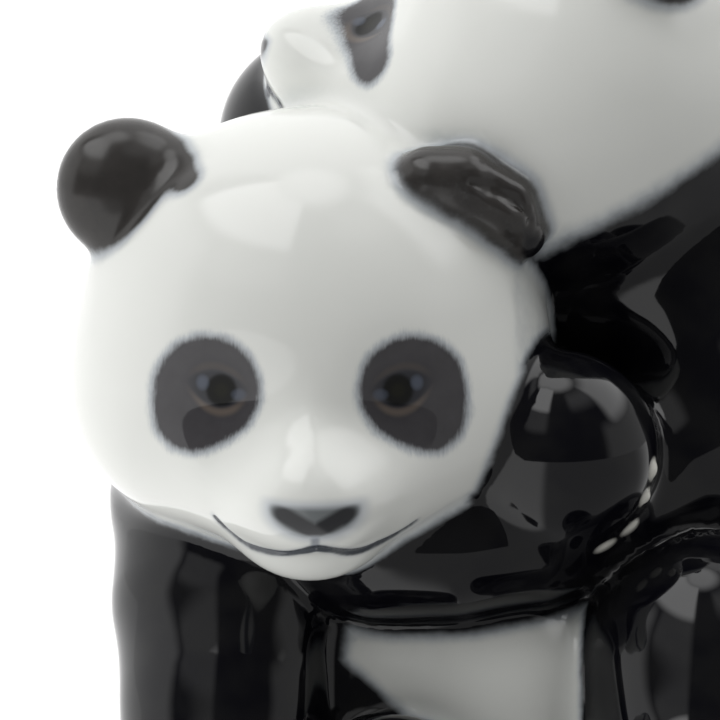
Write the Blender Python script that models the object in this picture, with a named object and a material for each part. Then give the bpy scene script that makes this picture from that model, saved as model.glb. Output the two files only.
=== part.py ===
"""A glazed porcelain group of two pandas, cast in one piece.

The front panda sits and looks at the viewer. The back panda leans over it from the side, with one arm
round its chest. The sculpt is one signed distance, negative inside. Its lengths are in the modeller's
millimetres: +X to the viewer's right, -Y towards the viewer, +Z up, the shelf at Z = 0. The finished mesh is
brought to its height in metres and centred.
"""
import math

import bmesh
import bpy
import numpy as np

# Driving dimensions, in millimetres. The whole group is brought to HEIGHT in proportion.
HEIGHT = 148.6
GRID = 1.7
TRIANGLES = 8600
SKULL = (35.0, 32.5, 33.0)
EAR_FRONT = 10.4
EAR_BACK = 10.0
GLAZE_FILLET = 2.5

# Places of the two heads and how they are turned, in degrees. A positive pitch lowers the nose.
FRONT_HEAD = (-7.2, 0.0, 80.0)
FRONT_PITCH, FRONT_YAW = 8.0, 0.0
BACK_HEAD = (29.7, 24.0, 113.8)
BACK_PITCH, BACK_YAW = -25.0, -92.0

# Limbs: points along the middle of each, with the radius there
FRONT_FORELEG = [((-18.5, 10.5, 52.7), 20.0), ((-19.5, -0.4, 39.7), 17.0), ((-19.9, -9.0, 28.1), 15.0),
                 ((-20.6, -18.6, 11.6), 15.5)]
FRONT_RAISED = [((12.5, 19.0, 53.8), 15.0), ((24.5, 8.3, 61.1), 15.0)]
FRONT_THIGH = [((40.3, 6.7, 16.0), 22.0), ((51.2, -7.7, 34.0), 16.0), ((48.8, -21.4, 17.9), 14.0)]
FRONT_FAR_LEG = [((6.1, -2.0, 14.0), 14.0), ((5.1, -22.0, 14.0), 12.0)]
FRONT_EAR_AT = (-27.6, 23.6, -0.6)
BACK_EAR_AT = (21.5, 29.5, -2.0)
FRONT_EAR_ROOT = ((-33.0, 0.0, 103.4), 8.6), ((-25.6, -1.6, 103.0), 7.6)
FRONT_EAR_FOLDED = [((10.0, -13.3, 106.3), 5.1), ((14.8, -13.0, 105.7), 5.0), ((20.3, -12.1, 102.5), 4.7),
                    ((23.3, -10.3, 98.2), 4.0)]
FOLDED_EAR_HOLLOW = [((17.5, -18.6, 106.6), 1.3), ((20.2, -18.0, 105.4), 1.7), ((23.0, -16.6, 103.0), 1.4)]
FRONT_PAW = ((29.2, -8.4, 64.6), (15.2, 14.0, 15.5))
BACK_NEAR_ARM = [((50.8, 17.9, 87.3), 18.0), ((57.4, 10.8, 73.1), 15.5), ((51.9, 7.6, 62.8), 13.2),
                 ((36.4, 0.9, 55.4), 11.4), ((24.0, -5.9, 52.1), 10.4), ((13.4, -10.2, 51.2), 10.0),
                 ((3.0, -10.2, 51.2), 9.8), ((-3.7, -8.0, 51.9), 9.5)]
BACK_SHOULDER = ((34.0, 15.0, 86.0), 13.0), ((52.0, 18.0, 84.0), 17.5)
BACK_NAPE = ((51.0, 27.0, 97.0), 21.0), ((60.0, 35.0, 74.0), 28.0)
BACK_FAR_ARM = [((50.0, 50.0, 84.0), 17.0), ((22.0, 54.0, 92.0), 13.5), ((-5.0, 40.0, 104.0), 17.4)]


# Shapes in the sculpt: each takes points and returns their distances

def blend(a, b, width):
    """Joins two distances with a fillet."""
    h = np.clip(0.5 + 0.5 * (b - a) / width, 0.0, 1.0)
    return b + (a - b) * h - width * h * (1.0 - h)


def carve(a, b, width):
    """Takes b out of a, with a rounded edge."""
    return -blend(-a, b, width)


def ellipsoid(p, centre, radii, axes=None):
    q = p - np.asarray(centre, p.dtype)
    if axes is not None:
        q = q @ np.asarray(axes, p.dtype)
    r = np.asarray(radii, p.dtype)
    near = np.sqrt(((q / r) ** 2).sum(1)) + 1e-6
    steep = np.sqrt(((q / r ** 2) ** 2).sum(1)) + 1e-6
    return near * (near - 1.0) / steep


def limb(p, start, end):
    """A rounded rod whose radius eases from one end to the other."""
    (a, ra), (b, rb) = start, end
    a, b = np.asarray(a, p.dtype), np.asarray(b, p.dtype)
    along = b - a
    t = np.clip(((p - a) @ along) / (along @ along), 0.0, 1.0)
    radius = ra + (rb - ra) * t * t * (3.0 - 2.0 * t)
    return np.sqrt(((p - a - t[:, None] * along) ** 2).sum(1)) - radius


def chain(p, points, width):
    """Rods through the given points, joined with fillets."""
    d = limb(p, points[0], points[1])
    for start, end in zip(points[1:], points[2:]):
        d = blend(d, limb(p, start, end), width)
    return d


def axes_of(pitch, yaw):
    """Columns: a head's right, up and forward directions. Yaw 0 faces the viewer."""
    p, w = math.radians(pitch), math.radians(yaw)
    forward = np.array([math.sin(w) * math.cos(p), -math.cos(w) * math.cos(p), -math.sin(p)])
    right = np.array([math.cos(w), math.sin(w), 0.0])
    return np.stack([right, np.cross(forward, right), forward], axis=1)


def ear_axes(outward, upward):
    """Columns of an ear's frame inside its head's frame. The third is where the hollow faces."""
    face = np.array([outward, upward, 1.0])
    face /= np.linalg.norm(face)
    side = np.cross([0.0, 1.0, 0.0], face)
    side /= np.linalg.norm(side)
    return np.stack([side, np.cross(face, side), face], axis=1)


# The heads, in their own frames: +X to the head's left, +Y up, +Z forward

def skull(q):
    """A panda's head without its ears."""
    both = np.stack([np.abs(q[:, 0]), q[:, 1], q[:, 2]], axis=1)
    d = ellipsoid(q, (0, 2, -2), SKULL)
    d = blend(d, ellipsoid(both, (15.5, -8, 4), (19.5, 17, 22)), 8)
    d = blend(d, ellipsoid(q, (0, -12, 23), (16, 12, 16)), 10)
    d = blend(d, ellipsoid(q, (0, -10.5, 35.5), (9, 6.8, 8.5)), 7)
    d = blend(d, ellipsoid(q, (0, -20.5, 26), (9, 6.5, 8)), 5)
    return carve(d, ellipsoid(both, (15.5, 3, 39), (9, 8, 7)), 9)


def in_front_head(p):
    """The points in the front head's own frame."""
    return (p - np.asarray(FRONT_HEAD, p.dtype)) @ axes_of(FRONT_PITCH, FRONT_YAW).astype(p.dtype)


def in_back_head(p):
    """The points in the back head's own frame."""
    return (p - np.asarray(BACK_HEAD, p.dtype)) @ axes_of(BACK_PITCH, BACK_YAW).astype(p.dtype)


def ear(q, centre, radius, axes, hollow):
    """A round ear, with a hollow in its face where one is asked for."""
    o = q - np.asarray(centre, q.dtype)
    d = ellipsoid(o, (0, 0, 0), (radius, radius, 0.7 * radius), axes)
    if hollow:
        middle = axes @ np.array([0.0, -0.5, 0.72 * radius])
        d = carve(d, ellipsoid(o, middle, (0.6 * radius, 0.6 * radius, 0.45 * radius), axes), GLAZE_FILLET)
    return d


def front_head(p):
    q = in_front_head(p)
    d = blend(skull(q), ear(q, FRONT_EAR_AT, EAR_FRONT, ear_axes(0.45, 0.35), False), 3)
    return blend(d, limb(p, *FRONT_EAR_ROOT), 3)


def folded_ear(p):
    """The front panda's other ear, pressed flat by the back panda's cheek."""
    return carve(chain(p, FRONT_EAR_FOLDED, 3), chain(p, FOLDED_EAR_HOLLOW, 2), 1.5)


def back_head(p):
    q = in_back_head(p)
    d = skull(q)
    x, y, z = BACK_EAR_AT
    for side in (-1, 1):
        d = blend(d, ear(q, (side * x, y, z), EAR_BACK, ear_axes(side * 0.35, 0.3), True), 3.5)
    return d


# The bodies

def front_body(p):
    d = ellipsoid(p, (12.5, 18.3, 41.0), (27, 22, 28))
    d = blend(d, ellipsoid(p, (14.7, 6.1, 21.9), (30, 26, 28)), 10)
    d = blend(d, limb(p, ((-4.7, 20.9, 62.9), 22), ((9.4, 19.6, 47.2), 24)), 10)
    foreleg = blend(chain(p, FRONT_FORELEG, 5), ellipsoid(p, (-21.1, -29.2, 9.0), (16, 17, 10)), 6)
    d = blend(d, foreleg, 6)
    thigh = blend(chain(p, FRONT_THIGH, 7), ellipsoid(p, (47.7, -36.9, 9.0), (14, 19, 10)), 6)
    d = blend(d, thigh, 4)
    foot = blend(chain(p, FRONT_FAR_LEG, 7), ellipsoid(p, (5.1, -27.7, 14.5), (12.5, 9, 15)), 6)
    d = blend(d, foot, 3)
    d = blend(d, limb(p, ((6.0, 30.0, 56.0), 19), ((40.0, 34.0, 52.0), 24)), 12)
    d = blend(d, limb(p, ((-5.0, 22.0, 82.0), 14), ((-8.0, 34.0, 94.0), 11)), 8)
    return blend(d, ellipsoid(p, (-4.0, 33.0, 16.0), (8, 8, 8)), 4)


def back_body(p):
    d = limb(p, ((46.0, 32.0, 84.0), 27), ((60.0, 40.0, 31.0), 35))
    d = blend(d, limb(p, *BACK_NAPE), 6)
    d = blend(d, ellipsoid(p, (86.0, 8.0, 15.0), (16, 29, 16)), 8)
    d = blend(d, ellipsoid(p, (36.0, 70.0, 16.0), (24, 17, 17)), 8)
    return blend(d, ellipsoid(p, (95.0, 46.0, 22.0), (7, 8, 9)), 4)


def near_arm(p):
    """The back panda's arm, from its shoulder round under the front panda's chin."""
    return blend(chain(p, BACK_NEAR_ARM, 6), limb(p, *BACK_SHOULDER), 6)


def raised_foreleg(p):
    return blend(chain(p, FRONT_RAISED, 6), ellipsoid(p, *FRONT_PAW), 6)


def sculpt(p):
    """The whole group, with its underside cut flat at the shelf."""
    d = blend(front_head(p), front_body(p), 5)
    back = blend(back_head(p), back_body(p), 10)
    d = blend(d, back, 4.0)
    d = blend(d, near_arm(p), 2.6)
    d = blend(d, chain(p, BACK_FAR_ARM, 6), 4.0)
    d = blend(d, raised_foreleg(p), 2.6)
    d = blend(d, folded_ear(p), GLAZE_FILLET)
    return np.maximum(d, -p[:, 2])


# From distances to a mesh

LOW = np.array([-50.0, -66.0, -6.0])
HIGH = np.array([112.0, 98.0, 162.0])
BLOCK = 8


def sample(step):
    """Distances on a grid. Blocks of it that lie far from the skin keep only their sign."""
    blocks = np.ceil((HIGH - LOW) / (step * BLOCK)).astype(int)
    size = blocks * BLOCK
    index = np.stack(np.meshgrid(*[np.arange(n) for n in blocks], indexing="ij"), -1).reshape(-1, 3)
    middle = LOW + (index + 0.5) * BLOCK * step
    far = sculpt(middle.astype(np.float32))
    grid = np.empty(tuple(size), np.float32)
    inner = np.stack(np.meshgrid(*[np.arange(BLOCK)] * 3, indexing="ij"), -1).reshape(-1, 3)
    for place, distance in zip(index, far):
        corner = place * BLOCK
        cell = tuple(slice(c, c + BLOCK) for c in corner)
        if abs(distance) > 1.3 * BLOCK * step:
            grid[cell] = distance
        else:
            points = LOW + (corner + inner) * step
            grid[cell] = sculpt(points.astype(np.float32)).reshape(BLOCK, BLOCK, BLOCK)
    return grid


def skin(step):
    """One vertex in each cell that the surface crosses, and one quad across each grid edge that does."""
    grid = sample(step)
    inside = grid < 0
    shape = np.array(grid.shape) - 1
    total = np.zeros(tuple(shape) + (3,))
    count = np.zeros(tuple(shape))
    crossings = []
    for axis in range(3):
        first = [slice(None)] * 3
        second = [slice(None)] * 3
        first[axis], second[axis] = slice(0, -1), slice(1, None)
        a, b = grid[tuple(first)], grid[tuple(second)]
        where = np.argwhere(inside[tuple(first)] != inside[tuple(second)])
        va, vb = a[tuple(where.T)], b[tuple(where.T)]
        point = where.astype(float)
        point[:, axis] += va / (va - vb)
        crossings.append((axis, where, va < 0))
        u, v = [k for k in range(3) if k != axis]
        for du in (0, 1):
            for dv in (0, 1):
                cell = where.copy()
                cell[:, u] -= du
                cell[:, v] -= dv
                np.add.at(total, tuple(cell.T), point)
                np.add.at(count, tuple(cell.T), 1)
    number = np.full(tuple(shape), -1)
    used = np.argwhere(count > 0)
    number[tuple(used.T)] = np.arange(len(used))
    points = LOW + total[tuple(used.T)] / count[tuple(used.T)][:, None] * step
    quads = []
    for axis, where, leaving in crossings:
        u, v = (axis + 1) % 3, (axis + 2) % 3
        ring = []
        for du, dv in ((1, 1), (0, 1), (0, 0), (1, 0)):
            cell = where.copy()
            cell[:, u] -= du
            cell[:, v] -= dv
            ring.append(number[tuple(cell.T)])
        ring = np.stack(ring, axis=1)
        ring[~leaving] = ring[~leaving][:, ::-1]
        quads.append(ring)
    return settle(points), np.concatenate(quads)


def slope(points, reach=0.05):
    """The direction in which the distance grows."""
    parts = [sculpt((points + reach * e).astype(np.float32)) - sculpt((points - reach * e).astype(np.float32))
             for e in np.eye(3)]
    g = np.stack(parts, axis=1)
    return g / (np.linalg.norm(g, axis=1, keepdims=True) + 1e-9)


def settle(points):
    """Moves the vertices onto the surface, and the lowest exactly onto the shelf."""
    for _ in range(4):
        points = points - slope(points) * 0.9 * sculpt(points.astype(np.float32))[:, None]
    points[np.abs(points[:, 2]) < 0.05, 2] = 0.0
    return points


def black(p):
    """Tells which of the points lie under black glaze."""
    q, r = in_front_head(p), in_back_head(p)
    foreleg = np.minimum(chain(p, FRONT_FORELEG, 5), ellipsoid(p, (-21.1, -29.2, 9.0), (16, 17, 10)))
    thigh = np.minimum(chain(p, FRONT_THIGH, 7), ellipsoid(p, (47.7, -36.9, 9.0), (14, 19, 10)))
    foot = ellipsoid(p, (5.1, -27.7, 14.5), (12.5, 9, 15))
    hind = ellipsoid(p, (86.0, 8.0, 15.0), (16, 29, 16))
    hind = np.minimum(hind, ellipsoid(p, (36.0, 70.0, 16.0), (24, 17, 17)))
    arms = np.minimum(near_arm(p), chain(p, BACK_FAR_ARM, 6))
    yoke = limb(p, ((46.0, 32.0, 82.0), 26.0), ((52.0, 36.0, 70.0), 28.0)) + 1.5
    limbs = np.minimum.reduce([foreleg, thigh, foot, hind, arms, yoke, raised_foreleg(p)]) - 2.0
    limbs = np.maximum(limbs, 1.0 - np.minimum(front_head(p), back_head(p)))
    ears = np.linalg.norm(q - np.array(FRONT_EAR_AT), axis=1) - EAR_FRONT
    for side in (-1, 1):
        ears = np.minimum(ears, np.linalg.norm(r - np.array(BACK_EAR_AT) * (side, 1, 1), axis=1) - EAR_BACK)
    ears = np.minimum(ears, folded_ear(p)) - 0.7
    face = np.full(len(p), 9.0)
    for h in (q, r):
        patch = np.hypot((np.abs(h[:, 0]) - 14.9) / 7.8, (h[:, 1] - 1.9) / 8.2) - 1.0
        nose = np.hypot(h[:, 0] / 6.2, (h[:, 1] + 11.0) / 2.6) - 1.0
        face = np.where(h[:, 2] > 5, np.minimum(face, patch), face)
        face = np.where(h[:, 2] > 34, np.minimum(face, nose), face)
    return np.minimum.reduce([limbs, ears, face]) < 0


# Blender objects

def glaze(name, colour):
    """Glazed porcelain in one colour."""
    material = bpy.data.materials.new(name)
    material.use_nodes = True
    shader = material.node_tree.nodes["Principled BSDF"]
    shader.inputs["Base Color"].default_value = (*colour, 1.0)
    shader.inputs["Roughness"].default_value = 0.08
    shader.inputs["Metallic"].default_value = 0.0
    return material


def apply(obj, kind, **settings):
    """Runs one modifier on the mesh."""
    modifier = obj.modifiers.new(kind.lower(), kind)
    for name, value in settings.items():
        setattr(modifier, name, value)
    bpy.context.view_layer.update()
    done = bpy.data.meshes.new_from_object(obj.evaluated_get(bpy.context.evaluated_depsgraph_get()))
    obj.modifiers.remove(modifier)
    obj.data = done


def corners(mesh):
    """The mesh's vertices as an array."""
    at = np.empty(3 * len(mesh.vertices))
    mesh.vertices.foreach_get("co", at)
    return at.reshape(-1, 3)


def build():
    for old in list(bpy.data.objects):
        bpy.data.objects.remove(old)
    points, quads = skin(GRID)
    mesh = bpy.data.meshes.new("panda_pair")
    mesh.from_pydata(points.tolist(), [], quads.tolist())
    obj = bpy.data.objects.new("panda_pair", mesh)
    bpy.context.collection.objects.link(obj)
    apply(obj, "REMESH", mode="VOXEL", voxel_size=0.9 * GRID)
    obj.data.vertices.foreach_set("co", settle(corners(obj.data)).ravel())
    apply(obj, "DECIMATE", ratio=TRIANGLES / (2 * len(obj.data.polygons)))
    mesh = obj.data
    at = corners(mesh)
    at[at[:, 2] < 0.3, 2] = 0.0
    mesh.vertices.foreach_set("co", at.ravel())
    mesh.materials.append(glaze("white_glaze", (0.72, 0.74, 0.71)))
    mesh.materials.append(glaze("black_glaze", (0.02, 0.02, 0.022)))
    centres = np.array([at[list(face.vertices)].mean(0) for face in mesh.polygons], np.float32)
    mesh.polygons.foreach_set("material_index", black(centres).astype(np.int32))
    low, high = at.min(0), at.max(0)
    middle = np.array([(low[0] + high[0]) / 2, (low[1] + high[1]) / 2, 0.0])
    metres = HEIGHT / (high[2] - low[2]) / 1000.0
    mesh.vertices.foreach_set("co", ((at - middle) * metres).ravel())
    work = bmesh.new()
    work.from_mesh(mesh)
    bmesh.ops.triangulate(work, faces=work.faces)
    bmesh.ops.recalc_face_normals(work, faces=work.faces)
    loose = sum(not edge.is_manifold for edge in work.edges)
    work.to_mesh(mesh)
    work.free()
    print("middle", middle.round(3), "size", (high - low).round(2))
    print("triangles", len(mesh.polygons), "open edges", loose)


build()
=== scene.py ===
"""Looks of the panda group: one cast body of glazed porcelain, painted black under the glaze.

The sculpt is one signed distance, negative inside, in millimetres in the modeller's own frame: +X to the
viewer's right, -Y towards the viewer, +Z up, and the shelf at Z = 0. The mesh made from it is moved onto the
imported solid.
"""
import math

import bmesh
import bpy
import numpy as np
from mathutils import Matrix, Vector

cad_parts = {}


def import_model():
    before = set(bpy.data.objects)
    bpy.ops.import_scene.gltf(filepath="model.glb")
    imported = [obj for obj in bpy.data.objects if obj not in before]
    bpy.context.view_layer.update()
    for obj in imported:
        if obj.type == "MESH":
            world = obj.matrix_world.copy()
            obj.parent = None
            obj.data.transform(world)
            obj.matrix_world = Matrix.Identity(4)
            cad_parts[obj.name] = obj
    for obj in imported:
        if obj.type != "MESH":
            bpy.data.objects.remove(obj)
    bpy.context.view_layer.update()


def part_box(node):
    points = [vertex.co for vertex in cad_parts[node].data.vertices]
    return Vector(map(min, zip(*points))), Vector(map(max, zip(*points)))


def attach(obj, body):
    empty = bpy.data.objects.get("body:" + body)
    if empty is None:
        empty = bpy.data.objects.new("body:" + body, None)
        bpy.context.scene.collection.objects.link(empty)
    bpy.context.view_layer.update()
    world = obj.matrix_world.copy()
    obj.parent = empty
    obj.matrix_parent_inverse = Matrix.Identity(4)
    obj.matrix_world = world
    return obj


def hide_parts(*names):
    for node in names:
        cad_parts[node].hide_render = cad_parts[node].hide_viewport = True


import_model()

NODE = "panda_pair"
MM = 0.001

# Mesh, in millimetres: the grid's step, the corners of the space it fills, and its blocks in cells
GRID = 1.2
LOW = np.array([-50.0, -66.0, -6.0])
HIGH = np.array([112.0, 98.0, 162.0])
BLOCK = 8
BATCH = 48
GLAZE_FILLET = 2.5

# A head's forms, in its own frame: the middle and radii of each. The cheek and the socket are mirrored in X.
SKULL = (0, 2, -2), (35.0, 32.5, 33.0)
CHEEK = (15.5, -8, 4), (19.5, 17, 22)
MUZZLE = (0, -12, 23), (16, 12, 16)
NOSE_TIP = (0, -10.5, 35.5), (9, 6.8, 8.5)
CHIN = (0, -20.5, 26), (9, 6.5, 8)
SOCKET = (15.5, 3, 39), (9, 8, 7)

# Places of the two heads and how they are turned, in degrees. A positive pitch lowers the nose.
FRONT_HEAD = (-7.2, 0.0, 80.0)
FRONT_PITCH, FRONT_YAW = 8.0, 0.0
BACK_HEAD = (29.7, 24.0, 113.8)
BACK_PITCH, BACK_YAW = -25.0, -92.0
EAR_FRONT = 10.4
EAR_BACK = 10.0
FRONT_EAR_AT = (-27.6, 23.6, -0.6)
BACK_EAR_AT = (21.5, 29.5, -2.0)

# The bodies' large forms: a middle and radii, or the two ends of a rod with their radii
FRONT_BELLY = (12.5, 18.3, 41.0), (27, 22, 28)
FRONT_SEAT = (14.7, 6.1, 21.9), (30, 26, 28)
FRONT_CHEST = ((-4.7, 20.9, 62.9), 22), ((9.4, 19.6, 47.2), 24)
FRONT_BACK = ((6.0, 30.0, 56.0), 19), ((40.0, 34.0, 52.0), 24)
FRONT_NECK = ((-5.0, 22.0, 82.0), 14), ((-8.0, 34.0, 94.0), 11)
FRONT_TAIL = (-4.0, 33.0, 16.0), (8, 8, 8)
BACK_TRUNK = ((46.0, 32.0, 84.0), 27), ((60.0, 40.0, 31.0), 35)
BACK_TAIL = (95.0, 46.0, 22.0), (7, 8, 9)

# Feet: middle and radii
FORE_FOOT = (-21.1, -29.2, 9.0), (16, 17, 10)
HIND_FOOT = (47.7, -36.9, 9.0), (14, 19, 10)
FAR_FOOT = (5.1, -27.7, 14.5), (12.5, 9, 15)
BACK_NEAR_FOOT = (86.0, 8.0, 15.0), (16, 29, 16)
BACK_FAR_FOOT = (36.0, 70.0, 16.0), (24, 17, 17)

# Limbs: points along the middle of each, with the radius there
FRONT_FORELEG = [((-18.5, 10.5, 52.7), 20.0), ((-19.5, -0.4, 39.7), 17.0), ((-19.9, -9.0, 28.1), 15.0),
                 ((-20.6, -18.6, 11.6), 15.5)]
FRONT_RAISED = [((12.5, 19.0, 53.8), 15.0), ((24.5, 8.3, 61.1), 15.0)]
FRONT_THIGH = [((40.3, 6.7, 16.0), 22.0), ((51.2, -7.7, 34.0), 16.0), ((48.8, -21.4, 17.9), 14.0)]
FRONT_FAR_LEG = [((6.1, -2.0, 14.0), 14.0), ((5.1, -22.0, 14.0), 12.0)]
FRONT_EAR_FOLDED = [((10.0, -13.3, 106.3), 5.1), ((14.8, -13.0, 105.7), 5.0), ((20.3, -12.1, 102.5), 4.7),
                    ((23.3, -10.3, 98.2), 4.0)]
FRONT_PAW = ((29.2, -8.4, 64.6), (15.2, 14.0, 15.5))
FRONT_EAR_ROOT = ((-33.0, 0.0, 103.4), 8.6), ((-25.6, -1.6, 103.0), 7.6)
BACK_NEAR_ARM = [((50.8, 17.9, 87.3), 18.0), ((57.4, 10.8, 73.1), 15.5), ((51.9, 7.6, 62.8), 13.2),
                 ((36.4, 0.9, 55.4), 11.4), ((24.0, -5.9, 52.1), 10.4), ((13.4, -10.2, 51.2), 10.0),
                 ((3.0, -10.2, 51.2), 9.8), ((-3.7, -8.0, 51.9), 9.5)]
BACK_SHOULDER = ((34.0, 15.0, 86.0), 13.0), ((52.0, 18.0, 84.0), 17.5)
BACK_NAPE = ((51.0, 27.0, 97.0), 21.0), ((60.0, 35.0, 74.0), 28.0)
BACK_FAR_ARM = [((50.0, 50.0, 84.0), 17.0), ((22.0, 54.0, 92.0), 13.5), ((-5.0, 40.0, 104.0), 17.4)]

# Small forms, drawn along the skin. A groove's radius below 0 only just cuts in.
EAR_INNER_EDGE = [((-31.2, -4.6, 111.0), 0.2), ((-28.9, -5.9, 109.8), 0.7), ((-27.3, -8.9, 108.0), 0.8),
                  ((-25.8, -12.4, 106.8), 0.3)]
FOLDED_EAR_GROOVE = [((16.0, -18.2, 106.9), -0.8), ((19.3, -17.4, 105.9), -0.2),
                     ((22.4, -16.4, 104.0), -0.2), ((24.2, -14.6, 101.0), -0.8)]
MOUTH = [(-13.4, -15.8, 31.3), (-11.7, -18.0, 32.0), (-9.5, -19.5, 32.8), (-7.3, -19.6, 34.8),
         (-5.2, -19.4, 36.5), (-3.1, -18.9, 38.2), (-1.0, -17.8, 40.1), (1.1, -17.0, 41.1),
         (3.2, -17.8, 39.6), (5.3, -19.4, 36.6), (7.4, -20.0, 34.5), (9.5, -19.8, 32.6),
         (11.6, -19.6, 30.5), (13.4, -19.1, 29.1), (15.3, -18.1, 28.1)]
BACK_MOUTH = [(-4.5, -18.6, 37.0), (-2.4, -18.9, 39.0), (0.0, -17.4, 40.8), (2.4, -18.9, 39.0),
              (4.5, -18.6, 37.0)]
LIP = 0.5
CLAWS = [((42.7, -13.4, 63.4), (1.2, 1.2, 1.5), 0.0), ((41.6, -13.7, 59.4), (1.3, 1.2, 1.25), 15.0),
         ((39.3, -12.1, 54.4), (1.8, 1.2, 0.95), 20.0), ((35.8, -13.1, 52.0), (1.8, 1.2, 0.85), 20.0)]
CLAW = (1.1, 1.1, 1.5)
CLAW_REACH = 5.0
CLAW_STEP = 15.0

# Feet with claws: the way each faces, in degrees round from the front, and how low its claws are
FEET = [(FORE_FOOT, -5.0, -0.35), (HIND_FOOT, 5.0, -0.35), (FAR_FOOT, 0.0, -0.55),
        (BACK_NEAR_FOOT, 0.0, -0.5), (BACK_FAR_FOOT, -90.0, -0.5)]

# Where a head's nose and eyes need finer faces, in its own frame
NOSE_AREA = (0.9, -11.5, 41.5), (6.5, 4.0, 4.0)
EYE_AREA = (12.7, 2.4, 27.0), (5.0, 4.0, 4.0)

# The back panda's black ends at a ball round its white head, and starts on this rod at its shoulders
NECKLINE = (9.6, 24.0, 149.5)
NECKLINE_RADIUS = 65.4
BACK_YOKE = ((46.0, 32.0, 84.0), 27.0), ((53.0, 36.0, 66.0), 30.0)

# The painted face, in millimetres across a head's front and up it as seen from a little above
FACE_TILT = 20.0
EYE = (12.65, -7.2)
PATCH = (14.8, -7.25, 7.7), (17.1, -10.8, 5.4)
BACK_PATCH = ((6.4, 1.2), 4.6), ((19.1, -4.9), 3.4)
BACK_EYE = (9.6, -0.9)
NOSE_TOP = (0.86, -23.6)
BACK_NOSE_TOP = (0.0, -25.0)
BACK_NOSE_SHRINK = 1.35
NOSE = (6.3, 4.1)
# Glints in an eye: place across and up, half width, half height and strength
GLINTS = (2.7, 1.0, 1.05, 1.25, 0.62), (-2.5, -0.75, 1.25, 0.95, 0.45)

# Colours of the glaze and the paint under it, and a grey for painted shade in the white's hollows
WHITES = (0.80, 0.812, 0.775, 1), (0.86, 0.868, 0.83, 1)
# Painted shade: a grey laid into the white glaze in hollows and creases, where shade falls
PAINTED_HOLLOW_SHADE = (0.50, 0.55, 0.55, 1)
HALO = (0.33, 0.37, 0.42, 1)
BLACKS = (0.003, 0.003, 0.005, 1), (0.008, 0.008, 0.009, 1)
EAR_BLACKS = (0.030, 0.028, 0.027, 1), (0.050, 0.046, 0.043, 1)
PATCH_GREYS = (0.044, 0.042, 0.045, 1), (0.072, 0.069, 0.074, 1)
CLAW_WHITE = (0.74, 0.73, 0.67, 1)
EYE_SHADE = (0.026, 0.027, 0.034, 1)
UPPER_LID = (0.085, 0.070, 0.060, 1)
LOWER_LID = (0.125, 0.102, 0.086, 1)
EYE_DARK = (0.016, 0.018, 0.025, 1)
IRIS = (0.010, 0.010, 0.009, 1)
PUPIL = (0.015, 0.015, 0.011, 1)
GLINT = (0.105, 0.125, 0.170, 1)
NOSE_EDGE = (0.42, 0.46, 0.52, 1)
NOSE_GREY = (0.17, 0.185, 0.19, 1)
NOSE_STROKE = (0.011, 0.011, 0.014, 1)
NOSE_GROOVE = (0.22, 0.24, 0.28, 1)
LIP_SHADE = (0.34, 0.37, 0.42, 1)
LIP_LINE = (0.045, 0.052, 0.065, 1)

# The camera: a long lens a little above the front head, aimed at this point of the sculpt
AIM = (0.0, -0.62, 77.07)
ELEVATION = 12.0
DISTANCE = 600.0
LENS = 200.0

# The tent's lit parts: degrees round from the front, degrees up, width of the soft edge, and brightness
TENT = [((-108.0, -14.0), (50.0, 80.0), 4.0, 4.0),
        ((-190.0, -66.0), (-20.0, 46.0), 8.0, 1.4),
        ((-62.0, -14.0), (28.0, 52.0), 6.0, 0.7),
        ((-190.0, -125.0), (-20.0, 80.0), 8.0, 1.5),
        ((125.0, 190.0), (-20.0, 80.0), 8.0, 1.5),
        ((-200.0, 200.0), (77.0, 100.0), 6.0, 3.4),
        ((72.0, 140.0), (28.0, 72.0), 9.0, 3.0),
        ((20.0, 75.0), (52.0, 72.0), 9.0, 0.8),
        ((55.0, 140.0), (-20.0, 30.0), 8.0, 0.7)]
TENT_DIM = 0.08
FLOOR_BRIGHT = 1.3
FLOOR_DIM = 0.4


# Shapes in the sculpt: each takes points and returns their distances


def blend(a, b, width):
    """Joins two distances with a fillet."""
    h = np.clip(0.5 + 0.5 * (b - a) / width, 0.0, 1.0)
    return b + (a - b) * h - width * h * (1.0 - h)


def carve(a, b, width):
    """Takes b out of a, with a rounded edge."""
    return -blend(-a, b, width)


def ellipsoid(p, centre, radii, axes=None):
    q = p - np.asarray(centre, p.dtype)
    if axes is not None:
        q = q @ np.asarray(axes, p.dtype)
    r = np.asarray(radii, p.dtype)
    near = np.sqrt(((q / r) ** 2).sum(1)) + 1e-6
    steep = np.sqrt(((q / r ** 2) ** 2).sum(1)) + 1e-6
    return near * (near - 1.0) / steep


def limb(p, start, end):
    """A rounded rod whose radius eases from one end to the other."""
    (a, ra), (b, rb) = start, end
    a, b = np.asarray(a, p.dtype), np.asarray(b, p.dtype)
    along = b - a
    t = np.clip(((p - a) @ along) / (along @ along), 0.0, 1.0)
    radius = ra + (rb - ra) * t * t * (3.0 - 2.0 * t)
    return np.sqrt(((p - a - t[:, None] * along) ** 2).sum(1)) - radius


def chain(p, points, width):
    """Rods through the given points, joined with fillets."""
    d = limb(p, points[0], points[1])
    for start, end in zip(points[1:], points[2:]):
        d = blend(d, limb(p, start, end), width)
    return d


def axes_of(pitch, yaw):
    """Columns: a head's right, up and forward directions. Yaw 0 faces the viewer."""
    p, w = math.radians(pitch), math.radians(yaw)
    forward = np.array([math.sin(w) * math.cos(p), -math.cos(w) * math.cos(p), -math.sin(p)])
    right = np.array([math.cos(w), math.sin(w), 0.0])
    return np.stack([right, np.cross(forward, right), forward], axis=1)


def ear_axes(outward, upward):
    """Columns of an ear's frame inside its head's frame. The third is where the hollow faces."""
    face = np.array([outward, upward, 1.0])
    face /= np.linalg.norm(face)
    side = np.cross([0.0, 1.0, 0.0], face)
    side /= np.linalg.norm(side)
    return np.stack([side, np.cross(face, side), face], axis=1)


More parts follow.
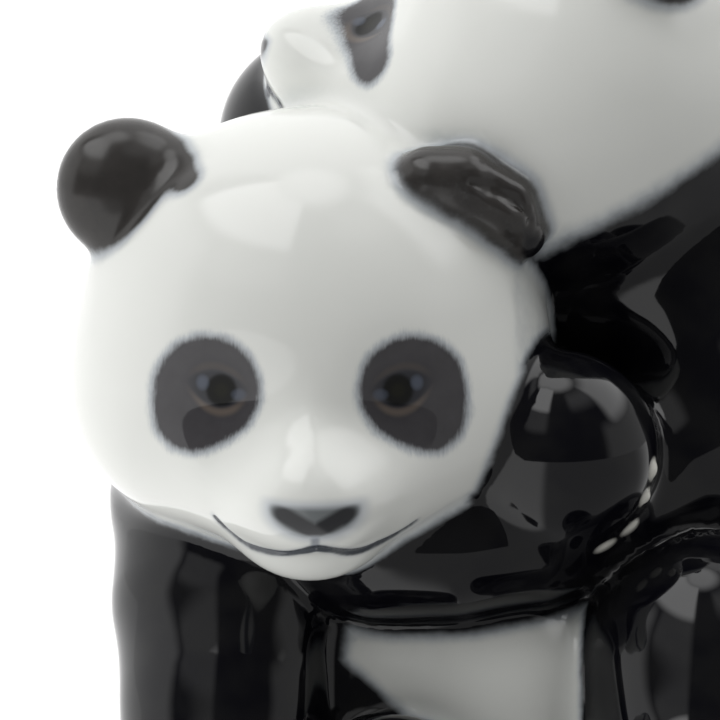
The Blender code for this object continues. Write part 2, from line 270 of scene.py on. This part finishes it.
# The heads, in their own frames: +X to the viewer's right when it faces the viewer, +Y up, +Z forward


def in_front_head(p):
    return (p - np.asarray(FRONT_HEAD, p.dtype)) @ axes_of(FRONT_PITCH, FRONT_YAW).astype(p.dtype)


def in_back_head(p):
    return (p - np.asarray(BACK_HEAD, p.dtype)) @ axes_of(BACK_PITCH, BACK_YAW).astype(p.dtype)


def skull(q):
    """A panda's head without its ears."""
    both = np.stack([np.abs(q[:, 0]), q[:, 1], q[:, 2]], axis=1)
    d = ellipsoid(q, *SKULL)
    d = blend(d, ellipsoid(both, *CHEEK), 8)
    d = blend(d, ellipsoid(q, *MUZZLE), 10)
    d = blend(d, ellipsoid(q, *NOSE_TIP), 7)
    d = blend(d, ellipsoid(q, *CHIN), 5)
    return carve(d, ellipsoid(both, *SOCKET), 9)


def ear(q, centre, radius, axes, hollow):
    """A round ear, with a hollow in its face where one is given."""
    o = q - np.asarray(centre, q.dtype)
    d = ellipsoid(o, (0, 0, 0), (radius, radius, 0.7 * radius), axes)
    if hollow:
        middle = axes @ np.array([0.0, -0.5, 0.72 * radius])
        d = carve(d, ellipsoid(o, middle, (0.6 * radius, 0.6 * radius, 0.45 * radius), axes), GLAZE_FILLET)
    return d


def cut_mouth(d, q):
    """The line of the mouth, cut a little into a head, in the head's frame."""
    mouth = [((x, y, z), LIP if abs(x) < 11 else 0.6 * LIP) for x, y, z in MOUTH]
    return carve(d, chain(q, mouth, 0.3), 0.5)


def front_head(p):
    q = in_front_head(p)
    d = blend(skull(q), ear(q, FRONT_EAR_AT, EAR_FRONT, ear_axes(0.45, 0.35), False), 3)
    d = blend(d, limb(p, *FRONT_EAR_ROOT), 3)
    return cut_mouth(d, q)


def folded_ear(p):
    """The front panda's other ear, pressed flat by the back panda's cheek."""
    return carve(chain(p, FRONT_EAR_FOLDED, 3), chain(p, FOLDED_EAR_GROOVE, 1.0), 3.0)


def back_head(p):
    q = in_back_head(p)
    d = skull(q)
    x, y, z = BACK_EAR_AT
    for side in (-1, 1):
        d = blend(d, ear(q, (side * x, y, z), EAR_BACK, ear_axes(side * 0.35, 0.3), True), 3.5)
    return d


# The bodies


def foreleg(p):
    return blend(chain(p, FRONT_FORELEG, 5), ellipsoid(p, *FORE_FOOT), 6)


def thigh(p):
    return blend(chain(p, FRONT_THIGH, 7), ellipsoid(p, *HIND_FOOT), 6)


def front_body(p):
    d = blend(ellipsoid(p, *FRONT_BELLY), ellipsoid(p, *FRONT_SEAT), 10)
    d = blend(d, limb(p, *FRONT_CHEST), 10)
    d = blend(d, foreleg(p), 6)
    d = blend(d, thigh(p), 4)
    d = blend(d, blend(chain(p, FRONT_FAR_LEG, 7), ellipsoid(p, *FAR_FOOT), 6), 3)
    d = blend(d, limb(p, *FRONT_BACK), 12)
    d = blend(d, limb(p, *FRONT_NECK), 8)
    return blend(d, ellipsoid(p, *FRONT_TAIL), 4)


def back_body(p):
    d = blend(limb(p, *BACK_TRUNK), limb(p, *BACK_NAPE), 6)
    d = blend(d, ellipsoid(p, *BACK_NEAR_FOOT), 8)
    d = blend(d, ellipsoid(p, *BACK_FAR_FOOT), 8)
    return blend(d, ellipsoid(p, *BACK_TAIL), 4)


def near_arm(p):
    """The back panda's arm, from its shoulder round under the front panda's chin."""
    return blend(chain(p, BACK_NEAR_ARM, 6), limb(p, *BACK_SHOULDER), 6)


def raised_foreleg(p):
    return blend(chain(p, FRONT_RAISED, 6), ellipsoid(p, *FRONT_PAW), 6)


def claws(p):
    """The ends of the claws on the paw and on each foot."""
    d = np.full(len(p), 99.0, p.dtype)
    for place, radii, lean in CLAWS + foot_claws():
        near = np.abs(p - np.array(place, p.dtype)).max(1) < CLAW_REACH
        a = math.radians(lean)
        axes = np.array([[math.cos(a), 0, -math.sin(a)], [0, 1, 0], [math.sin(a), 0, math.cos(a)]])
        d[near] = np.minimum(d[near], ellipsoid(p[near], place, radii, axes))
    return d


def foot_claws():
    """Four claws in a row across the front of each foot's ellipsoid."""
    row = []
    for ((x, y, z), (wide, deep, tall)), facing, low in FEET:
        flat = math.sqrt(1 - low ** 2)
        for step in (-1.5, -0.5, 0.5, 1.5):
            a = math.radians(facing + step * CLAW_STEP)
            place = (x + wide * flat * math.sin(a), y - deep * flat * math.cos(a), z + tall * low)
            row.append((place, CLAW, 0.0))
    return row


def sculpt(p):
    """The whole group, with its underside cut flat at the shelf."""
    d = blend(front_head(p), front_body(p), 5)
    back = blend(back_head(p), back_body(p), 10)
    d = blend(d, back, 4.0)
    d = blend(d, near_arm(p), 2.6)
    d = blend(d, chain(p, BACK_FAR_ARM, 6), 4.0)
    d = blend(d, raised_foreleg(p), 2.6)
    d = blend(d, folded_ear(p), GLAZE_FILLET)
    return np.maximum(blend(d, claws(p), 0.6), -p[:, 2])


# From distances to a mesh


def sample(step):
    """Distances on a grid. Blocks of it that lie far from the skin keep only their middle's distance."""
    blocks = np.ceil((HIGH - LOW) / (step * BLOCK)).astype(int)
    index = np.stack(np.meshgrid(*[np.arange(n) for n in blocks], indexing="ij"), -1).reshape(-1, 3)
    middle = LOW + (index + 0.5) * BLOCK * step
    distance = sculpt(middle.astype(np.float32))
    grid = np.repeat(np.repeat(np.repeat(distance.reshape(tuple(blocks)), BLOCK, 0), BLOCK, 1), BLOCK, 2)
    inner = np.stack(np.meshgrid(*[np.arange(BLOCK)] * 3, indexing="ij"), -1).reshape(-1, 3)
    near = index[np.abs(distance) < 1.3 * BLOCK * step]
    for start in range(0, len(near), BATCH):
        corners = near[start:start + BATCH] * BLOCK
        cells = (corners[:, None, :] + inner[None]).reshape(-1, 3)
        grid[tuple(cells.T)] = sculpt((LOW + cells * step).astype(np.float32))
    return grid


def skin(step):
    """One vertex in each cell that the surface crosses, and a quad across each grid edge that crosses it."""
    grid = sample(step)
    inside = grid < 0
    shape = tuple(np.array(grid.shape) - 1)
    total = np.zeros(shape + (3,))
    count = np.zeros(shape)
    crossings = []
    for axis in range(3):
        first = [slice(None)] * 3
        second = [slice(None)] * 3
        first[axis], second[axis] = slice(0, -1), slice(1, None)
        a, b = grid[tuple(first)], grid[tuple(second)]
        where = np.argwhere(inside[tuple(first)] != inside[tuple(second)])
        va, vb = a[tuple(where.T)], b[tuple(where.T)]
        point = where.astype(float)
        point[:, axis] += va / (va - vb)
        crossings.append((axis, where, va < 0))
        u, v = [k for k in range(3) if k != axis]
        for du in (0, 1):
            for dv in (0, 1):
                cell = where.copy()
                cell[:, u] -= du
                cell[:, v] -= dv
                np.add.at(total, tuple(cell.T), point)
                np.add.at(count, tuple(cell.T), 1)
    number = np.full(shape, -1)
    used = np.argwhere(count > 0)
    number[tuple(used.T)] = np.arange(len(used))
    points = LOW + total[tuple(used.T)] / count[tuple(used.T)][:, None] * step
    quads = []
    for axis, where, leaving in crossings:
        u, v = (axis + 1) % 3, (axis + 2) % 3
        ring = []
        for du, dv in ((1, 1), (0, 1), (0, 0), (1, 0)):
            cell = where.copy()
            cell[:, u] -= du
            cell[:, v] -= dv
            ring.append(number[tuple(cell.T)])
        ring = np.stack(ring, axis=1)
        ring[~leaving] = ring[~leaving][:, ::-1]
        quads.append(ring)
    return settle(points), np.concatenate(quads)


def slope(points, reach=0.06):
    """The direction in which the distance grows."""
    parts = []
    for e in np.eye(3):
        ahead = sculpt((points + reach * e).astype(np.float32))
        parts.append(ahead - sculpt((points - reach * e).astype(np.float32)))
    g = np.stack(parts, axis=1).astype(float)
    return g / (np.linalg.norm(g, axis=1, keepdims=True) + 1e-9)


def settle(points, rounds=3):
    """Moves the vertices onto the surface, and the lowest exactly onto the shelf."""
    for _ in range(rounds):
        points = points - slope(points) * 0.9 * sculpt(points.astype(np.float32))[:, None]
    points[np.abs(points[:, 2]) < 0.05, 2] = 0.0
    return points


# Where the paint goes: distances to its edge along the skin, in millimetres, negative on the paint


def front_black(p):
    """The front panda's legs, and the fold where its far leg meets the belly."""
    legs = [foreleg(p) - 2.0, (thigh(p) - 0.5) * 3.0, ellipsoid(p, *FAR_FOOT) - 2.0, raised_foreleg(p) - 2.0]
    slant = (p[:, 2] - 34.5 + 0.74 * (p[:, 0] + 3.5)) / 1.25
    fold = np.maximum.reduce([slant, p[:, 1] + 4.0, p[:, 0] - 24.0])
    return np.minimum(np.minimum.reduce(legs), fold)


def back_black(p):
    """The back panda's arms, its shoulders up to the neckline, and its hind feet."""
    far_arm = chain(p, BACK_FAR_ARM, 6)
    yoke = blend(limb(p, *BACK_YOKE) - 1.0, limb(p, *BACK_NAPE), 6)
    above = NECKLINE_RADIUS - np.linalg.norm(p - np.array(NECKLINE), axis=1)
    shoulder = np.maximum.reduce([above, 58.0 - p[:, 2], 24.0 - p[:, 0]])
    arms = blend(np.minimum(near_arm(p), far_arm), yoke, 10) - 2.0
    upper = np.minimum(np.maximum(arms, above), shoulder)
    far = np.maximum(far_arm - 1.5, (1.5 - back_head(p)) * 2.0)
    hind = np.minimum(ellipsoid(p, *BACK_NEAR_FOOT), ellipsoid(p, *BACK_FAR_FOOT)) - 2.0
    return np.minimum.reduce([upper, far, hind])


def limb_paint(p):
    """Distance to the edge of the limbs' black, which stops where a limb meets the front head."""
    touch = np.minimum(near_arm(p) - 0.3, raised_foreleg(p) - 2.6)
    off_head = np.minimum((0.8 - skull(in_front_head(p))) * 1.6, touch)
    return np.maximum(np.minimum(front_black(p), back_black(p)), off_head)


def ear_paint(p):
    """Distance to the edge of the ears' black."""
    q, r = in_front_head(p), in_back_head(p)
    ears = np.linalg.norm(q - np.array(FRONT_EAR_AT), axis=1) - EAR_FRONT
    for side in (-1, 1):
        at = np.array(BACK_EAR_AT) * (side, 1, 1)
        ears = np.minimum(ears, np.linalg.norm(r - at, axis=1) - EAR_BACK)
    inner = chain(p, EAR_INNER_EDGE, 1.0) - 1.5
    return np.minimum(blend(ears, inner, 2.5), folded_ear(p)) - 0.6


def face_paint(p):
    """Distances to the eye patches' edges, and where each point lies from its eye and its nose."""
    q, r = in_front_head(p), in_back_head(p)
    tilt = math.radians(FACE_TILT)
    front = skull(q) < skull(r)
    x = np.where(front, q[:, 0], r[:, 0])
    z = np.where(front, q[:, 2], r[:, 2])
    up = q[:, 1] * math.cos(tilt) - q[:, 2] * math.sin(tilt)
    rounds = [np.hypot(np.abs(q[:, 0]) - x0, up - y0) - radius for x0, y0, radius in PATCH]
    front_patch = blend(*rounds, 1.5)
    flat = np.stack([np.abs(r[:, 0]), r[:, 1]], axis=1)
    back_patch = limb(flat, *BACK_PATCH)
    patch = np.where(front, front_patch, back_patch)
    patch = np.where(z > 5.0, patch, 9.0)
    back_up = r[:, 1] * math.cos(tilt) - r[:, 2] * math.sin(tilt)
    eye_x = np.where(front, np.abs(q[:, 0]) - EYE[0], np.abs(r[:, 0]) - BACK_EYE[0])
    eye_y = np.where(front, up - EYE[1], r[:, 1] - BACK_EYE[1])
    nose_x = np.where(front, x - NOSE_TOP[0], (x - BACK_NOSE_TOP[0]) * BACK_NOSE_SHRINK)
    nose_y = np.where(front, up - NOSE_TOP[1], (back_up - BACK_NOSE_TOP[1]) * BACK_NOSE_SHRINK)
    away = np.where(z > 20.0, 0.0, 40.0)
    eye = np.stack([eye_x + away, eye_y, z], axis=1)
    nose = np.stack([nose_x + np.where(nose_x < 0, -away, away), nose_y, z], axis=1)
    return patch, eye, nose


# Materials


class Nodes:
    """Writes shader maths as plain calls."""

    def __init__(self, tree):
        self.tree = tree
        tree.nodes.clear()

    def add(self, kind, **settings):
        node = self.tree.nodes.new(kind)
        for name, value in settings.items():
            setattr(node, name, value)
        return node

    def link(self, source, target):
        if isinstance(source, (int, float, tuple)):
            target.default_value = source
        else:
            self.tree.links.new(source, target)

    def math(self, operation, *values):
        node = self.add("ShaderNodeMath", operation=operation)
        for value, socket in zip(values, node.inputs):
            self.link(value, socket)
        return node.outputs[0]

    def ramp(self, value, low, high, out_low=0.0, out_high=1.0):
        """Eases from out_low at low to out_high at high."""
        node = self.add("ShaderNodeMapRange", interpolation_type="SMOOTHSTEP")
        for v, socket in zip((value, low, high, out_low, out_high), node.inputs):
            self.link(v, socket)
        return node.outputs[0]

    def mix(self, share, a, b):
        node = self.add("ShaderNodeMix", data_type="RGBA")
        self.link(share, node.inputs[0])
        self.link(a, node.inputs[6])
        self.link(b, node.inputs[7])
        return node.outputs[2]

    def noise(self, vector, scale, detail=2.0, rough=0.5):
        node = self.add("ShaderNodeTexNoise")
        self.link(vector, node.inputs["Vector"])
        node.inputs["Scale"].default_value = scale
        node.inputs["Detail"].default_value = detail
        node.inputs["Roughness"].default_value = rough
        return node.outputs["Fac"]

    def attribute(self, name, output="Fac"):
        return self.add("ShaderNodeAttribute", attribute_name=name).outputs[output]

    def vector(self, operation, a, b):
        node = self.add("ShaderNodeVectorMath", operation=operation)
        self.link(a, node.inputs[0])
        self.link(b, node.inputs[1])
        return node.outputs[0]


def eye_paint(n, colour):
    """An almond eye with faint tan lids, a dark iris and two bluish glints, over the patch's colour."""
    parts = n.add("ShaderNodeSeparateXYZ")
    n.link(n.attribute("eye", "Vector"), parts.inputs[0])
    a, b = parts.outputs[0], parts.outputs[1]
    square = n.math("MULTIPLY", a, a)
    upper = n.math("ADD", n.math("MULTIPLY_ADD", a, 0.27, 2.7), n.math("MULTIPLY", square, -0.1))
    lower = n.math("MULTIPLY_ADD", square, 0.14, -2.75)
    under = n.math("SUBTRACT", upper, b)
    over = n.math("SUBTRACT", b, lower)
    inside = n.math("MINIMUM", under, over)
    span = n.math("MULTIPLY", n.ramp(a, -4.4, -1.6), n.ramp(a, 5.6, 2.6))
    around = n.math("MULTIPLY", n.ramp(a, -5.5, -2.0), n.ramp(a, 7.0, 3.5))
    shade = n.math("MULTIPLY", n.ramp(inside, -2.8, 0.4), around)
    colour = n.mix(n.math("MULTIPLY", shade, 0.5), colour, EYE_SHADE)
    upper_lid = n.math("MULTIPLY", n.ramp(n.math("ABSOLUTE", n.math("ADD", under, 0.5)), 0.95, 0.0), span)
    lower_lid = n.math("MULTIPLY", n.ramp(n.math("ABSOLUTE", n.math("ADD", over, 0.5)), 1.1, 0.0), span)
    colour = n.mix(n.math("MULTIPLY", upper_lid, 0.55), colour, UPPER_LID)
    colour = n.mix(n.math("MULTIPLY", lower_lid, 0.85), colour, LOWER_LID)
    lift = n.math("MULTIPLY", n.math("ADD", b, 0.1), 0.95)
    reach = n.math("SQRT", n.math("ADD", square, n.math("MULTIPLY", lift, lift)))
    opening = n.math("MULTIPLY", n.ramp(inside, -0.25, 0.7), span)
    colour = n.mix(n.math("MULTIPLY", opening, 0.8), colour, EYE_DARK)
    iris = n.math("MULTIPLY", n.ramp(reach, 2.7, 1.7), n.ramp(inside, -0.3, 0.5))
    colour = n.mix(n.math("MULTIPLY", iris, 0.95), colour, IRIS)
    colour = n.mix(n.math("MULTIPLY", iris, n.ramp(reach, 1.4, 0.5)), colour, PUPIL)
    for at_a, at_b, wide, tall, much in GLINTS:
        side = n.math("DIVIDE", n.math("SUBTRACT", a, at_a), wide)
        rise = n.math("DIVIDE", n.math("SUBTRACT", b, at_b), tall)
        glint = n.math("ADD", n.math("MULTIPLY", side, side), n.math("MULTIPLY", rise, rise))
        colour = n.mix(n.math("MULTIPLY", n.ramp(glint, 1.3, 0.0), much), colour, GLINT)
    return colour, iris


def nose_paint(n, colour):
    """A grey nose with two dark strokes that meet below, the groove under it and the line of the mouth."""
    parts = n.add("ShaderNodeSeparateXYZ")
    n.link(n.attribute("nose", "Vector"), parts.inputs[0])
    a, b = n.math("ABSOLUTE", parts.outputs[0]), parts.outputs[1]
    wide = n.math("DIVIDE", a, NOSE[0])
    tall = n.math("DIVIDE", n.math("ADD", b, 0.3), NOSE[1])
    oval = n.math("SQRT", n.math("ADD", n.math("MULTIPLY", wide, wide), n.math("MULTIPLY", tall, tall)))
    oval = n.math("MULTIPLY", n.math("SUBTRACT", oval, 1.0), 4.2)
    top = n.math("MULTIPLY_ADD", n.math("MULTIPLY", wide, wide), -0.45, n.math("ADD", b, 0.15))
    edge = n.math("SMOOTH_MAX", oval, top, 1.2)
    colour = n.mix(n.math("MULTIPLY", n.ramp(edge, 1.6, -0.2), 0.7), colour, NOSE_EDGE)
    colour = n.mix(n.ramp(edge, 0.5, -0.7), colour, NOSE_GREY)
    slant = n.math("SUBTRACT", n.math("MULTIPLY_ADD", a, 0.58, -3.75), b)
    stroke = n.ramp(n.math("ABSOLUTE", slant), 1.95, 0.8)
    stroke = n.math("MULTIPLY", stroke, n.ramp(edge, 0.3, -0.6))
    colour = n.mix(n.math("MULTIPLY", stroke, 0.96), colour, NOSE_STROKE)
    rise = n.math("MULTIPLY", n.ramp(b, -6.6, -5.6), n.ramp(b, -3.9, -4.6))
    groove = n.math("MULTIPLY", n.ramp(a, 1.0, 0.2), rise)
    colour = n.mix(n.math("MULTIPLY", groove, 0.75), colour, NOSE_GROOVE)
    mouth = n.math("ADD", n.attribute("mouth"), n.ramp(a, 5.0, 14.5, 0.0, 0.45))
    mouth = n.math("SUBTRACT", mouth, n.ramp(a, 2.6, 0.3, 0.0, 0.3))
    colour = n.mix(n.math("MULTIPLY", n.ramp(mouth, 1.5, 0.3), 0.4), colour, LIP_SHADE)
    return n.mix(n.math("MULTIPLY", n.ramp(mouth, 0.8, 0.15), 0.93), colour, LIP_LINE)


def smooth(points):
    """More points along the curve through these."""
    ends = np.array([points[0], *points, points[-1]], float)
    curve = []
    for a, b, c, d in zip(ends, ends[1:], ends[2:], ends[3:]):
        for t in (0.0, 0.33, 0.67):
            bend = 2 * a - 5 * b + 4 * c - d + t * (3 * b - a - 3 * c + d)
            curve.append(b + 0.5 * t * (c - a + t * bend))
    return curve + [ends[-1]]


def porcelain():
    material = bpy.data.materials.new("glazed_porcelain")
    material.use_nodes = True
    n = Nodes(material.node_tree)
    limbs, ears, patch, painted_hollow_shade = (n.attribute(name) for name in ("limbs", "ears", "patch", "painted_hollow_shade"))
    place = n.attribute("place", "Vector")
    wave = n.math("SUBTRACT", n.noise(place, 0.35, 2.0), 0.5)
    grain = n.math("SUBTRACT", n.noise(place, 2.0, 3.0), 0.5)
    strokes = n.math("SUBTRACT", n.noise(n.vector("MULTIPLY", place, (1.6, 1.6, 0.35)), 1.6, 2.0, 0.6), 0.5)
    limb_edge = n.math("ADD", limbs, n.math("MULTIPLY_ADD", wave, 0.7, n.math("MULTIPLY", grain, 0.12)))
    ear_edge = n.math("ADD", ears, n.math("MULTIPLY_ADD", wave, 0.5, n.math("MULTIPLY", grain, 0.15)))
    patch_edge = n.math("ADD", patch, n.math("MULTIPLY_ADD", strokes, 0.7, n.math("MULTIPLY", wave, 0.7)))
    on_limb = n.ramp(limb_edge, 0.9, -0.7)
    on_ear = n.ramp(ear_edge, 0.5, -0.6)
    on_patch = n.ramp(patch_edge, 0.5, -0.7)
    beside_black = n.ramp(n.math("MINIMUM", limb_edge, ear_edge), 2.4, 0.2)
    halo = n.math("MAXIMUM", beside_black, n.ramp(patch_edge, 1.7, 0.2))
    tone = n.noise(place, 0.05, 2.0)
    white = n.mix(tone, *WHITES)
    # Painted shade: the white turns grey in hollows, by how near the skin lies 3 mm out along its normal
    white = n.mix(n.ramp(painted_hollow_shade, 0.5, 2.4, 0.0, 0.5), white, PAINTED_HOLLOW_SHADE)
    white = n.mix(n.math("MULTIPLY", n.math("MULTIPLY", halo, halo), 0.7), white, HALO)
    white = nose_paint(n, white)
    ink = n.mix(n.noise(place, 0.3, 4.0), *PATCH_GREYS)
    ink, iris = eye_paint(n, ink)
    dark = n.mix(n.ramp(n.noise(place, 0.12, 2.0), 0.35, 0.65), *BLACKS)
    ear_dark = n.mix(n.noise(place, 0.4, 3.0), *EAR_BLACKS)
    colour = n.mix(on_patch, white, ink)
    colour = n.mix(on_ear, colour, ear_dark)
    colour = n.mix(on_limb, colour, dark)
    colour = n.mix(n.ramp(n.attribute("claw"), 0.75, -0.1), colour, CLAW_WHITE)
    shader = n.add("ShaderNodeBsdfPrincipled")
    n.link(colour, shader.inputs["Base Color"])
    n.link(n.ramp(ear_edge, 0.5, -0.6, 0.05, 0.2), shader.inputs["Roughness"])
    gloss = n.ramp(n.math("MULTIPLY", iris, on_patch), 0.0, 1.0, 0.4, 0.14)
    n.link(gloss, shader.inputs["Specular IOR Level"])
    out = n.add("ShaderNodeOutputMaterial")
    n.link(shader.outputs[0], out.inputs[0])
    return material


# Blender objects


def detail(p):
    """Distance to the small forms that need finer faces."""
    q = in_front_head(p)
    both = np.stack([np.abs(q[:, 0]), q[:, 1], q[:, 2]], axis=1)
    mouth = chain(q, [(point, 0.5) for point in MOUTH], 0.5)
    areas = [ellipsoid(q, *NOSE_AREA), ellipsoid(both, *EYE_AREA)]
    return np.minimum.reduce([folded_ear(p) + 0.5, claws(p), mouth] + areas)


def refined(points, quads):
    """Splits the faces near the small forms, twice in their midst, with every vertex on the surface."""
    b = bmesh.new()
    mesh = bpy.data.meshes.new("coarse")
    mesh.from_pydata(points.tolist(), [], quads.tolist())
    b.from_mesh(mesh)
    bpy.data.meshes.remove(mesh)
    for reach in (2.4, 1.0):
        points = np.array([v.co for v in b.verts])
        near = detail(points.astype(np.float32)) < reach
        b.verts.index_update()
        edges = [e for e in b.edges if near[e.verts[0].index] and near[e.verts[1].index]]
        bmesh.ops.subdivide_edges(b, edges=edges, cuts=1, use_grid_fill=True)
        b.verts.ensure_lookup_table()
        points = np.array([v.co for v in b.verts])
        off = np.abs(sculpt(points.astype(np.float32))) > 0.004
        points[off] = settle(points[off])
        for v, co in zip(b.verts, points.tolist()):
            v.co = co
    bmesh.ops.triangulate(b, faces=[f for f in b.faces if len(f.verts) > 4])
    return b, points


def panda_pair():
    b, points = refined(*skin(GRID))
    mesh = bpy.data.meshes.new("porcelain_group")
    b.to_mesh(mesh)
    b.free()
    p32 = points.astype(np.float32)
    normals = slope(points)
    flat = points[:, 2] == 0.0
    patch, eye, nose = face_paint(p32)
    q, r = in_front_head(p32), in_back_head(p32)
    mouths = [chain(head, [(point, 0.5) for point in smooth(line)], 0.3)
              for head, line in ((q, MOUTH), (r, BACK_MOUTH))]
    mouth = np.where(skull(q) < skull(r), *mouths)
    fields = {"limbs": limb_paint(p32), "ears": ear_paint(p32), "patch": patch, "claw": claws(p32),
              "mouth": mouth,
              # Painted shade in hollows: how near the skin lies 3 mm out along its normal
              "painted_hollow_shade": 3.0 - sculpt((points + 3.0 * normals).astype(np.float32))}
    for name, value in fields.items():
        mesh.attributes.new(name, "FLOAT", "POINT").data.foreach_set("value", value.astype(np.float32))
    for name, value in {"place": p32, "eye": eye, "nose": nose}.items():
        data = mesh.attributes.new(name, "FLOAT_VECTOR", "POINT").data
        data.foreach_set("vector", np.ascontiguousarray(value, np.float32).ravel())
    low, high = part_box(NODE)
    middle = (points.min(0) + points.max(0)) / 2 * MM
    shift = np.array([(low[0] + high[0]) / 2 - middle[0], (low[1] + high[1]) / 2 - middle[1], 0.0])
    points[:, 2] = np.minimum(points[:, 2], high[2] / MM)
    mesh.vertices.foreach_set("co", (points * MM + shift).ravel())
    mesh.shade_smooth()
    normals[flat] = np.where(normals[flat][:, 2:] < -0.6, [0.0, 0.0, -1.0], normals[flat])
    mesh.normals_split_custom_set_from_vertices(normals.tolist())
    mesh.materials.append(porcelain())
    obj = bpy.data.objects.new("porcelain_group", mesh)
    bpy.context.collection.objects.link(obj)
    return obj, shift


def floor():
    """A wide pale floor. What it throws onto the group is bright at the left and dim elsewhere."""
    mesh = bpy.data.meshes.new("floor")
    b = bmesh.new()
    bmesh.ops.create_grid(b, x_segments=1, y_segments=1, size=4.0)
    b.to_mesh(mesh)
    b.free()
    obj = bpy.data.objects.new("floor", mesh)
    obj.location = (0, 0, -0.0002)
    material = bpy.data.materials.new("pale_floor")
    material.use_nodes = True
    n = Nodes(material.node_tree)
    position = n.add("ShaderNodeNewGeometry").outputs["Position"]
    turn, _ = directions(n, position)
    dim = n.math("MULTIPLY", n.ramp(turn, -20.0, -6.0), n.ramp(turn, 130.0, 80.0))
    level = n.ramp(dim, 0.0, 1.0, FLOOR_BRIGHT, FLOOR_DIM)
    pale = n.add("ShaderNodeBsdfDiffuse")
    pale.inputs["Color"].default_value = (0.93, 0.93, 0.93, 1)
    bounce = n.add("ShaderNodeEmission")
    n.link(level, bounce.inputs["Strength"])
    both = n.add("ShaderNodeMixShader")
    n.link(n.add("ShaderNodeLightPath").outputs["Is Camera Ray"], both.inputs[0])
    n.link(bounce.outputs[0], both.inputs[1])
    n.link(pale.outputs[0], both.inputs[2])
    out = n.add("ShaderNodeOutputMaterial")
    n.link(both.outputs[0], out.inputs[0])
    mesh.materials.append(material)
    bpy.context.collection.objects.link(obj)
    return obj


def directions(n, vector):
    """Degrees round from the front, positive to the right, and degrees up."""
    parts = n.add("ShaderNodeSeparateXYZ")
    n.link(vector, parts.inputs[0])
    x, y, z = parts.outputs
    turn = n.math("MULTIPLY", n.math("ARCTAN2", x, n.math("MULTIPLY", y, -1.0)), 180.0 / math.pi)
    return turn, n.math("MULTIPLY", n.math("ARCSINE", z), 180.0 / math.pi)


def between(n, value, low, high, soft):
    """1 from low to high, easing to 0 over a soft edge at both ends."""
    return n.math("MULTIPLY", n.ramp(value, low - soft, low + soft), n.ramp(value, high + soft, high - soft))


def camera(shift):
    data = bpy.data.cameras.new("camera")
    data.lens = LENS
    data.sensor_width = 36.0
    obj = bpy.data.objects.new("camera", data)
    e = math.radians(ELEVATION)
    aim = np.array(AIM) * MM + shift
    obj.location = aim + np.array([0, -math.cos(e), math.sin(e)]) * DISTANCE * MM
    obj.rotation_euler = (math.radians(90.0 - ELEVATION), 0, 0)
    bpy.context.collection.objects.link(obj)
    bpy.context.scene.camera = obj


def world():
    """A white tent around the group, brighter in the parts listed above. The camera sees plain white."""
    w = bpy.data.worlds.new("tent")
    bpy.context.scene.world = w
    w.use_nodes = True
    n = Nodes(w.node_tree)
    turn, rise = directions(n, n.add("ShaderNodeTexCoord").outputs["Generated"])
    level = TENT_DIM
    for around, upward, soft, strength in TENT:
        share = n.math("MULTIPLY", between(n, turn, *around, soft), between(n, rise, *upward, soft))
        level = n.math("MAXIMUM", level, n.math("MULTIPLY", share, strength))
    light, plain = n.add("ShaderNodeBackground"), n.add("ShaderNodeBackground")
    n.link(level, light.inputs["Strength"])
    both = n.add("ShaderNodeMixShader")
    n.link(n.add("ShaderNodeLightPath").outputs["Is Camera Ray"], both.inputs[0])
    n.link(light.outputs[0], both.inputs[1])
    n.link(plain.outputs[0], both.inputs[2])
    plain.inputs["Color"].default_value = (1, 1, 1, 1)
    out = n.add("ShaderNodeOutputWorld")
    n.link(both.outputs[0], out.inputs[0])


def look():
    scene = bpy.context.scene
    scene.view_settings.view_transform = "Standard"
    scene.view_settings.look = "None"


obj, shift = panda_pair()
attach(obj, "root")
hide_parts(NODE)
ground = floor()
camera(shift)
world()
look()
